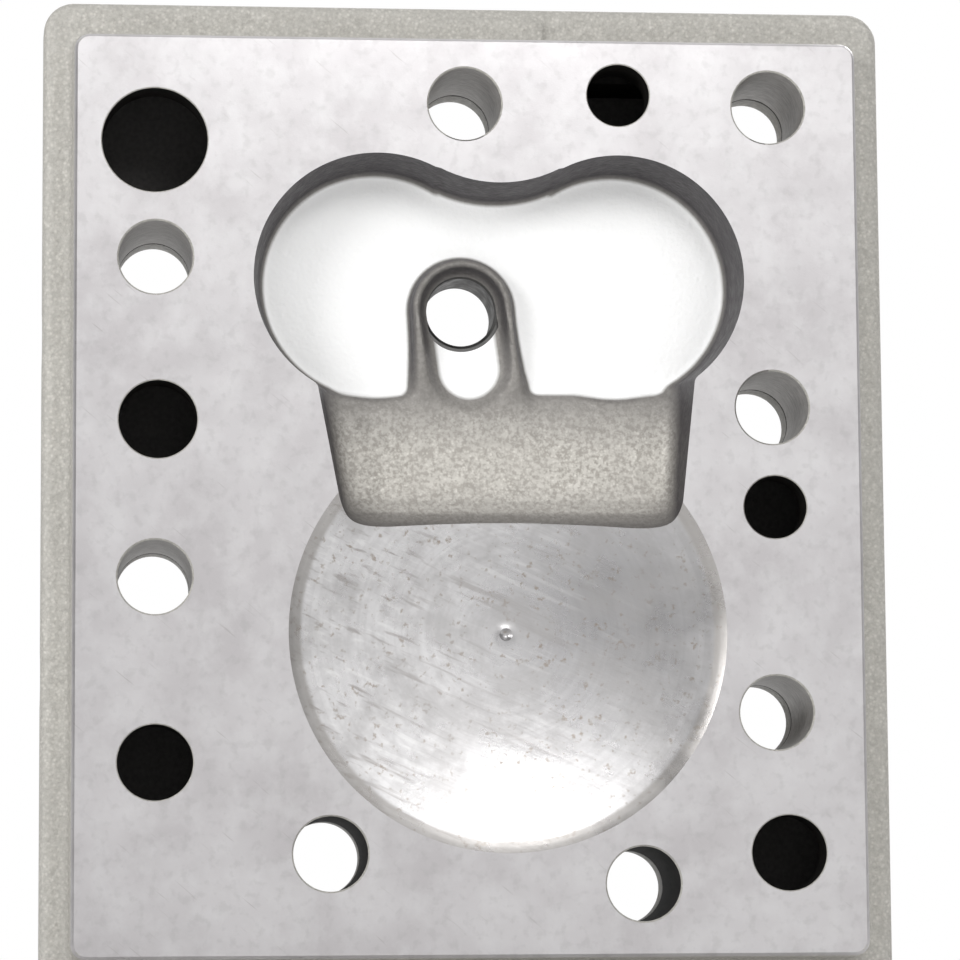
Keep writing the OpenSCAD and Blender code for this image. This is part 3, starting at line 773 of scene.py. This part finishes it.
def turned_steel(name, base, roughness):
    """Plated or bright steel with faint blotches and fine grain."""
    n = Nodes(name, base, 1.0, roughness)
    n.tint(n.ramp(n.noise(3, 3), 0.0, 0.35), tuple(c * 0.8 for c in base))
    n.tint(n.ramp(n.noise(0.6, 2), 0.0, 0.2), tuple(min(1, c * 1.15) for c in base))
    n.rough(n.ramp(n.noise(2, 3), roughness * 0.8, roughness * 1.25))
    n.bump(n.noise(0.3, 2), 0.008)
    return n.material


def brass_finish():
    n = Nodes("turned_brass", (0.66, 0.47, 0.19), 1.0, 0.33)
    n.tint(n.ramp(n.noise(4, 4), 0.0, 0.5), (0.40, 0.27, 0.11))
    n.tint(n.ramp(n.noise(0.8, 2), 0.0, 0.25), (0.80, 0.62, 0.32))
    n.rough(n.ramp(n.noise(2.5, 3), 0.25, 0.45))
    n.bump(n.noise(0.4, 2), 0.01)
    return n.material


def plain_rough(name, base, roughness, grain_mm, depth_mm):
    """Pressed fibre, moulded insulator or black iron."""
    n = Nodes(name, base, 0.0, roughness)
    n.tint(n.ramp(n.noise(grain_mm, 3), 0.0, 0.6), tuple(c * 1.6 for c in base))
    n.bump(n.noise(grain_mm * 0.7, 3), depth_mm)
    return n.material


MATERIALS = {
    "milled": milled_metal(),
    "turned": turned_metal(),
    "cast": sand_cast(),
    "cover": sand_cast("cover_cast", (0.46, 0.45, 0.43), (0.32, 0.31, 0.30)),
    "chamber": chamber_cast(),
    "drilled": drilled_wall(),
    "shade_black": shade_black_wall(),
    "spot_faced": turned_steel("spot_faced", (0.72, 0.71, 0.70), 0.34),
    "plated_steel": turned_steel("zinc_plate", (0.68, 0.69, 0.68), 0.34),
    "bright_steel": turned_steel("insert_steel", (0.13, 0.128, 0.125), 0.5),
    "spring_steel": turned_steel("spring_wire", (0.32, 0.32, 0.33), 0.38),
    "brass": brass_finish(),
    "copper": turned_steel("soft_copper", (0.72, 0.38, 0.26), 0.38),
    "fibre_gasket": plain_rough("pressed_fibre", (0.055, 0.052, 0.05), 0.85, 0.8, 0.05),
    "black_insulator": plain_rough("phenolic", (0.018, 0.018, 0.018), 0.4, 1.5, 0.01),
    "black_iron": plain_rough("black_iron", (0.045, 0.045, 0.048), 0.55, 0.7, 0.06),
}


# ---------------------------------------------------------------- head casting

def dish_profile():
    """The dish's cutter: centre mark, spherical bowl and a steeper land at the rim."""
    bowl_r = DISH_R - DISH_LAND
    land_depth = 1.1
    rise = DISH_DEPTH - land_depth
    ball = (bowl_r * bowl_r + rise * rise) / (2 * rise)
    profile = [(0, DISH_DEPTH + 0.75), (0.85, DISH_DEPTH + 0.1), (1.25, DISH_DEPTH - 0.2)]
    steps = 40
    for i in range(2, steps + 1):
        r = bowl_r * i / steps
        profile.append((r, DISH_DEPTH - ball + math.sqrt(ball * ball - r * r)))
    profile += [(DISH_R, 0), (DISH_R + 2, -1.0), (DISH_R + 2, -3.0), (0, -3.0)]
    return profile


def core_holes(tool):
    """Two holes through each side rail, which the core plugs close."""
    past, depth, y, r = 2, RAIL - 2, 16.5, CORE_HOLE_R
    for side, inward, heights in ((FLANGE_X[0], 1, (-8, 57)), (FLANGE_X[1], -1, (-29, 57))):
        outer, inner = side - inward * past, side + inward * depth
        for z in heights:
            add_lathe(tool, [(0, outer), (r, outer), (r, inner), (0, inner)], (y, z), axis="X")


def machine_faces(tool):
    """Everything in front of the gasket face and behind the joint face."""
    margin = 10
    low = (FLANGE_X[0] - margin, -12, FLANGE_Z[0] - margin)
    add_box(tool, low, (FLANGE_X[1] + margin, 0, FLANGE_Z[1] + margin))
    add_box(tool, (low[0], BACK_Y, low[2]),
            (FLANGE_X[1] + margin, BACK_Y + 12, FLANGE_Z[1] + margin))


def machine_holes(tool):
    for p in STUDS:
        drill(tool, p, STUD_R, -2, BACK_Y + 2, 0.3, 0)
    for x, z, r in WATER:
        drill(tool, (x, z), r, -2, DECK_T + 2.5, 0.2, 0)
    drill(tool, PLUG, INSERT_R, POCKET_DEPTH - 1, BACK_Y + 2)
    for p in SCREWS:
        drill(tool, p, SCREW_HOLE_R, BACK_Y - 13.5, BACK_Y + 2)


def casting_kinds(mesh, keys):
    """Which finish or painted shade each face of the casting has, from where it lies and how it
    faces.
    """
    index = {key: i for i, key in enumerate(keys)}
    centers, normals = face_arrays(mesh)
    x, y, z = centers.T
    facing = normals[:, 1]
    steep = np.abs(facing) < 0.5
    kinds = np.full(len(x), index["cast"], np.int32)
    between_rails = (x > FLANGE_X[0] + RAIL - 4) & (x < FLANGE_X[1] - RAIL + 4)
    between_rails &= (z > FLANGE_Z[0] + RAIL - 1) & (z < FLANGE_Z[1] - RAIL + 1)
    # The jacket's inside gets the near-black painted shade.
    kinds[between_rails & (y > DECK_T - 0.5)] = index["shade_black"]
    hollow = (z > SHELF_LIP_Z - 1.5) & (z < 95) & (np.abs(x) < 50) & (facing < 0.3)
    kinds[hollow & (y < POCKET_DEPTH + 0.4)] = index["chamber"]
    profile = np.array(dish_profile()[:-2])
    in_dish = np.abs(y - np.interp(np.hypot(x, z), profile[:, 0], profile[:, 1])) < 0.15
    kinds[in_dish & (np.hypot(x, z) < DISH_R + 0.1) & (facing < -0.6)] = index["turned"]
    on_rim = (x < DECK_X[0] + 1) | (x > DECK_X[1] - 1) | (z < DECK_Z[0] + 1) | (z > DECK_Z[1] - 1)
    kinds[((y < 0.02) & (facing < -0.9)) | (on_rim & (y < DECK_CHAMFER + 0.1))] = index["milled"]
    kinds[(y > BACK_Y - 0.02) & (facing > 0.9)] = index["milled"]
    # Stud hole walls: grey drilled metal in the upper holes, near-black painted shade in the lower
    # ones.
    for px, pz in STUDS:
        wall = steep & (np.hypot(x - px, z - pz) < STUD_R + 0.4)
        kinds[wall] = index["drilled"] if pz > -30 else index["shade_black"]
    # The water holes' walls get the near-black painted shade.
    for px, pz, r in WATER:
        kinds[steep & (np.hypot(x - px, z - pz) < r + 0.2)] = index["shade_black"]
    return kinds


def head_casting():
    step = 0.5
    g = Grid((FLANGE_X[0], -1.5, FLANGE_Z[0]), (FLANGE_X[1], BACK_Y + 1.5, FLANGE_Z[1]), step)
    piece = mesh_of("head_casting_surface", casting_field(g), g)
    cut(piece, "face_mill", machine_faces)
    cut(piece, "dish_tool", lambda tool: add_lathe(tool, dish_profile(), (0, 0), 160))
    cut(piece, "drills", machine_holes)
    cut(piece, "core_drills", core_holes)
    keys = ("cast", "milled", "turned", "chamber", "drilled", "shade_black")
    kinds = casting_kinds(piece.data, keys)
    wear(piece, keys, kinds)
    smooth(piece, flat=kinds == keys.index("milled"))
    return place(piece, "head", "machined_casting", "head_casting")


# ---------------------------------------------------------------- cover and outlet

def cover_faces(tool):
    """The stock on the cover's joint face, the housing's top and the fittings' bosses."""
    margin = 10
    add_box(tool, (FLANGE_X[0] - margin, COVER_Y - 10, FLANGE_Z[0] - margin),
            (FLANGE_X[1] + margin, COVER_Y, FLANGE_Z[1] + margin))
    add_lathe(tool, [(0, TOWER_Y), (45, TOWER_Y), (45, TOWER_Y + 8), (0, TOWER_Y + 8)], (0, 0))
    for p, r, _ in FITTINGS:
        past = r + 0.8
        add_lathe(tool, [(0, FITTING_Y), (past, FITTING_Y), (past, FITTING_Y + 4),
                         (0, FITTING_Y + 4)], p)


def cover_holes(tool):
    for p in STUDS:
        drill(tool, p, STUD_R, COVER_Y - 2, PLATE_Y + 3, 0.3, PLATE_Y)
    for p in SCREWS:
        drill(tool, p, SCREW_CLEAR_R, COVER_Y - 2, PLATE_Y + 3)
    drill(tool, (0, 0), TOWER_BORE_R, COVER_Y - 2, TOWER_Y - 1.0)
    for p in OUTLET_SCREWS:
        drill(tool, p, SCREW_HOLE_R, TOWER_Y - 12, TOWER_Y + 2)
    for p, _, r in FITTINGS:
        drill(tool, p, r, COVER_Y - 2, FITTING_Y + 3, 0.4, FITTING_Y)


def spot_faces(tool):
    """Shallow machined rings for the nuts on the studs."""
    low, high = PLATE_Y - 0.25, PLATE_Y + 8
    for p in STUDS:
        add_lathe(tool, [(0, low), (SPOT_FACE_R, low), (SPOT_FACE_R, high), (0, high)], p)


def jacket_cover():
    step = 0.6
    g = Grid((FLANGE_X[0], COVER_Y - 1.2, FLANGE_Z[0]), (FLANGE_X[1], TOWER_Y + 1.2, FLANGE_Z[1]),
             step)
    piece = mesh_of("jacket_cover_surface", cover_field(g), g)
    cut(piece, "cover_mill", cover_faces)
    cut(piece, "spot_facer", spot_faces)
    cut(piece, "cover_drills", cover_holes)
    cut(piece, "thermostat_seat", lambda tool: add_lathe(
        tool, [(0, TOWER_Y - 1.5), (26.3, TOWER_Y - 1.5), (26.3, TOWER_Y + 2), (0, TOWER_Y + 2)],
        (0, 0), 96))
    centers, normals = face_arrays(piece.data)
    x, y, z = centers.T
    machined = (normals[:, 1] > 0.98) & (np.abs(y - TOWER_Y) < 0.02)
    for px, pz in STUDS:
        machined |= (np.hypot(x - px, z - pz) < SPOT_FACE_R + 0.02) & (y > PLATE_Y - 0.3)
    for (px, pz), r, _ in FITTINGS:
        machined |= (np.abs(y - FITTING_Y) < 0.02) & (np.hypot(x - px, z - pz) < r + 1)
    wear(piece, ("cover", "spot_faced"), machined)
    smooth(piece, flat=machined)
    return place(piece, "head", "cast_cover", "jacket_cover")


def outlet_elbow():
    step = 0.5
    low, high = ELBOW
    g = Grid((low[0], low[1] - 1.2, low[2]), (high[0], high[1], high[2]), step)
    piece = mesh_of("outlet_elbow_surface", elbow_field(g), g)
    cut(piece, "elbow_mill", lambda tool: add_box(
        tool, (low[0] - 5, ELBOW_Y - 8, low[2] - 5), (high[0] + 5, ELBOW_Y, high[2] + 5)))

    def holes(tool):
        for p in OUTLET_SCREWS:
            low, high, seat_r = ELBOW_Y - 2, LUG_Y + 12, 6.8
            add_lathe(tool, [(0, low), (SCREW_CLEAR_R, low), (SCREW_CLEAR_R, LUG_Y), (seat_r, LUG_Y),
                             (seat_r, high), (0, high)], p)

    cut(piece, "elbow_drills", holes)
    wear(piece, ("cover",))
    smooth(piece)
    return place(piece, "head", "cast_cover", "outlet_elbow")


# ---------------------------------------------------------------- fasteners

def screws_piece(name, places, seat_y, length, node):
    """Hexagon screws with a washer face under the head and a chamfered top."""

    def build(tool):
        for p in places:
            add_hexagon(tool, p, HEAD_R, seat_y + 0.35, seat_y + HEAD_T)
            collar_y = seat_y + 0.4
            add_lathe(tool, [(0, seat_y), (4.7, seat_y), (4.85, collar_y), (0, collar_y)], p, 48)
            end = seat_y - length
            add_lathe(tool, [(0, end), (SCREW_R - 0.6, end), (SCREW_R, end + 0.6),
                             (SCREW_R, seat_y + 0.1), (0, seat_y + 0.1)], p, 32)

    piece = solid(name, build)
    soften(piece, 0.18, 30)
    apply_modifiers(piece)
    wear(piece, ("plated_steel",))
    smooth(piece, 40)
    return place(piece, "head", "plated_steel", node)


def washers_piece(name, places, y, node):
    """Flat washers with slightly rounded rims."""

    def build(tool):
        for p in places:
            top = y + WASHER_T
            ring = [(3.35, y), (6.05, y), (6.2, y + 0.15), (6.2, top - 0.2), (6.0, top),
                    (3.5, top), (3.35, top - 0.15), (3.35, y)]
            add_lathe(tool, ring, p, 56)

    piece = solid(name, build)
    weld = piece.modifiers.new("weld", "WELD")
    weld.merge_threshold = 0.001 * MM
    apply_modifiers(piece)
    wear(piece, ("plated_steel",))
    smooth(piece, 40)
    return place(piece, "head", "plated_steel", node)


def thermostat_spring():
    """The valve's coil spring at one fixed length; the script doesn't shorten it towards its cage as
    the valve opens.
    """
    wire_r, coil_r, turns, sides = 0.9, 10.5, 5, 14
    low, high = SEAT_Y - 16.4, SEAT_Y - 2.9
    closed, rise = 0.9, 1.9
    turn = np.linspace(0, turns, 48 * turns + 1)[:, None]
    y = np.interp(turn, (0, closed, turns - closed, turns), (low, low + rise, high - rise, high))
    around = np.linspace(0, 2 * math.pi, sides, endpoint=False)[None, :]
    r = coil_r + wire_r * np.cos(around)
    angle = 2 * math.pi * turn
    points = np.stack([r * np.cos(angle), y + wire_r * np.sin(around), r * np.sin(angle)], axis=-1)
    rings = len(points)
    faces = [tuple(range(sides)), tuple(rings * sides - 1 - k for k in range(sides))]
    for i in range(rings - 1):
        for k in range(sides):
            a, b = i * sides + k, i * sides + (k + 1) % sides
            faces.append((a, a + sides, b + sides, b))
    mesh = bpy.data.meshes.new("thermostat_coil")
    mesh.from_pydata((points.reshape(-1, 3) * MM).tolist(), [], faces)
    piece = bpy.data.objects.new("thermostat_coil", mesh)
    bpy.context.collection.objects.link(piece)
    wear(piece, ("spring_steel",))
    smooth(piece, 50)
    place(piece, "head", "spring_steel", "thermostat_spring")
    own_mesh(piece)


def finish_cad_nodes(taken):
    """Gives the CAD nodes that stay their materials and softened edges."""
    slots = {s["node"]: s["material_slot"] for s in frame["record"]["subparts"]}
    for name, piece in frame["nodes"].items():
        if name in taken:
            continue
        piece.data.materials.clear()
        piece.data.materials.append(MATERIALS[slots[name]])
        if name not in ("jacket_gasket", "outlet_gasket"):
            soften(piece, 0.2, 40)


# ---------------------------------------------------------------- camera, light and floor

KEY_DIRECTION = Vector((0.25, -0.85, 0.45)).normalized()
FAN_DIRECTION = Vector((0.08, -0.83, 0.52)).normalized()
# How bright the room is, by the cosine of the angle from the key light's direction.
FRONT_GLOW = (
    (0.0, 0.12), (0.5, 0.28), (0.72, 0.44), (0.80, 0.56), (0.86, 0.95), (0.90, 1.12), (0.96, 1.10),
    (1.0, 1.10),
)
GLOW_SCALE = 2.0  # keeps the ramp's colours between 0 and 1


def room():
    """Light from all round: a soft glow about the key light, a paler back, white to the eye."""
    world = bpy.data.worlds.new("room")
    bpy.context.scene.world = world
    world.use_nodes = True
    tree = world.node_tree
    background = tree.nodes["Background"]

    def math_node(operation, a, b):
        made = tree.nodes.new("ShaderNodeMath")
        made.operation = operation
        for socket, value in zip(made.inputs, (a, b)):
            if isinstance(value, (int, float)):
                socket.default_value = value
            else:
                tree.links.new(value, socket)
        return made.outputs["Value"]

    def remap(value, from_low, from_high, low, high):
        made = tree.nodes.new("ShaderNodeMapRange")
        for name, number in (("From Min", from_low), ("From Max", from_high), ("To Min", low),
                             ("To Max", high)):
            made.inputs[name].default_value = number
        tree.links.new(value, made.inputs["Value"])
        return made.outputs["Result"]

    direction = tree.nodes.new("ShaderNodeTexCoord").outputs["Generated"]
    parts = tree.nodes.new("ShaderNodeSeparateXYZ")
    tree.links.new(direction, parts.inputs["Vector"])
    dot = tree.nodes.new("ShaderNodeVectorMath")
    dot.operation = "DOT_PRODUCT"
    tree.links.new(direction, dot.inputs[0])
    dot.inputs[1].default_value = KEY_DIRECTION
    glow = tree.nodes.new("ShaderNodeValToRGB")
    stops = glow.color_ramp.elements
    while len(stops) < len(FRONT_GLOW):
        stops.new(0.5)
    for stop, (position, strength) in zip(stops, FRONT_GLOW):
        stop.position = position
        stop.color = (*[strength / GLOW_SCALE] * 3, 1)
    tree.links.new(dot.outputs["Value"], glow.inputs["Fac"])
    front = math_node("MULTIPLY", glow.outputs["Color"], GLOW_SCALE)
    back = remap(parts.outputs["Z"], -0.3, 0.9, 0.40, 1.10)
    behind = remap(parts.outputs["Y"], -0.06, 0.06, 0, 1)
    light = math_node("ADD", math_node("MULTIPLY", back, behind),
                      math_node("MULTIPLY", front, math_node("SUBTRACT", 1, behind)))
    seen = tree.nodes.new("ShaderNodeLightPath").outputs["Is Camera Ray"]
    tree.links.new(math_node("MAXIMUM", light, seen), background.inputs["Strength"])
    background.inputs["Color"].default_value = (1, 1, 1, 1)


def softbox(name, direction, distance_mm, size_mm, power):
    """A square lamp that faces the part from a direction."""
    light = bpy.data.lights.new(name, "AREA")
    light.size = size_mm * MM
    light.energy = power
    lamp = bpy.data.objects.new(name, light)
    target = Vector((0, 0, 25)) * MM
    lamp.location = target + direction * distance_mm * MM
    lamp.rotation_euler = (target - lamp.location).to_track_quat("-Z", "Y").to_euler()
    bpy.context.collection.objects.link(lamp)


def camera():
    """The camera in front of the gasket face, a little to the left and below."""
    scene = bpy.context.scene
    eye = Vector((-80, -780, -66)) * MM
    aim = Vector((-5.3, 0, 28.8)) * MM
    seen_width = 181.4 * MM
    data = bpy.data.cameras.new("camera")
    data.lens = data.sensor_width * (aim - eye).length / seen_width
    data.clip_start = 0.01
    eyepiece = bpy.data.objects.new("camera", data)
    eyepiece.location = eye
    level = (aim - eye).to_track_quat("-Z", "Y")
    eyepiece.rotation_euler = (level @ Quaternion((0, 0, 1), math.radians(-0.4))).to_euler()
    scene.collection.objects.link(eyepiece)
    scene.camera = eyepiece


def pale_floor():
    """A floor under the part, which isn't part of it."""
    floor_z = CAD_BOX[0][2]
    half = 1.6
    mesh = bpy.data.meshes.new("floor")
    mesh.from_pydata([(-half, -half, floor_z), (half, -half, floor_z), (half, half, floor_z),
                      (-half, half, floor_z)], [], [(0, 1, 2, 3)])
    floor = bpy.data.objects.new("floor", mesh)
    mesh.materials.append(Nodes("pale_floor", (0.82, 0.82, 0.82), 0.0, 0.8).material)
    bpy.context.collection.objects.link(floor)


bpy.context.scene.view_settings.view_transform = "Standard"
room()
softbox("key", FAN_DIRECTION, 1100, 320, 2.3)
softbox("side_fill", Vector((-0.8, -0.6, 0.3)).normalized(), 1100, 400, 4.8)
softbox("back_fill", Vector((0.5, 0.6, 0.6)).normalized(), 1000, 500, 3.0)
camera()
pale_floor()
head_casting()
jacket_cover()
outlet_elbow()
screws_piece("cover_screws_set", SCREWS, PLATE_Y + WASHER_T, 19, "cover_screws")
washers_piece("cover_washers_set", SCREWS, PLATE_Y, "cover_washers")
screws_piece("outlet_screws_set", OUTLET_SCREWS, LUG_Y + WASHER_T, 20, "outlet_screws")
washers_piece("outlet_washers_set", OUTLET_SCREWS, LUG_Y, "outlet_washers")
thermostat_spring()
finish_cad_nodes({
    "head_casting", "jacket_cover", "outlet_elbow", "cover_screws", "cover_washers",
    "outlet_screws", "outlet_washers", "thermostat_spring",
})
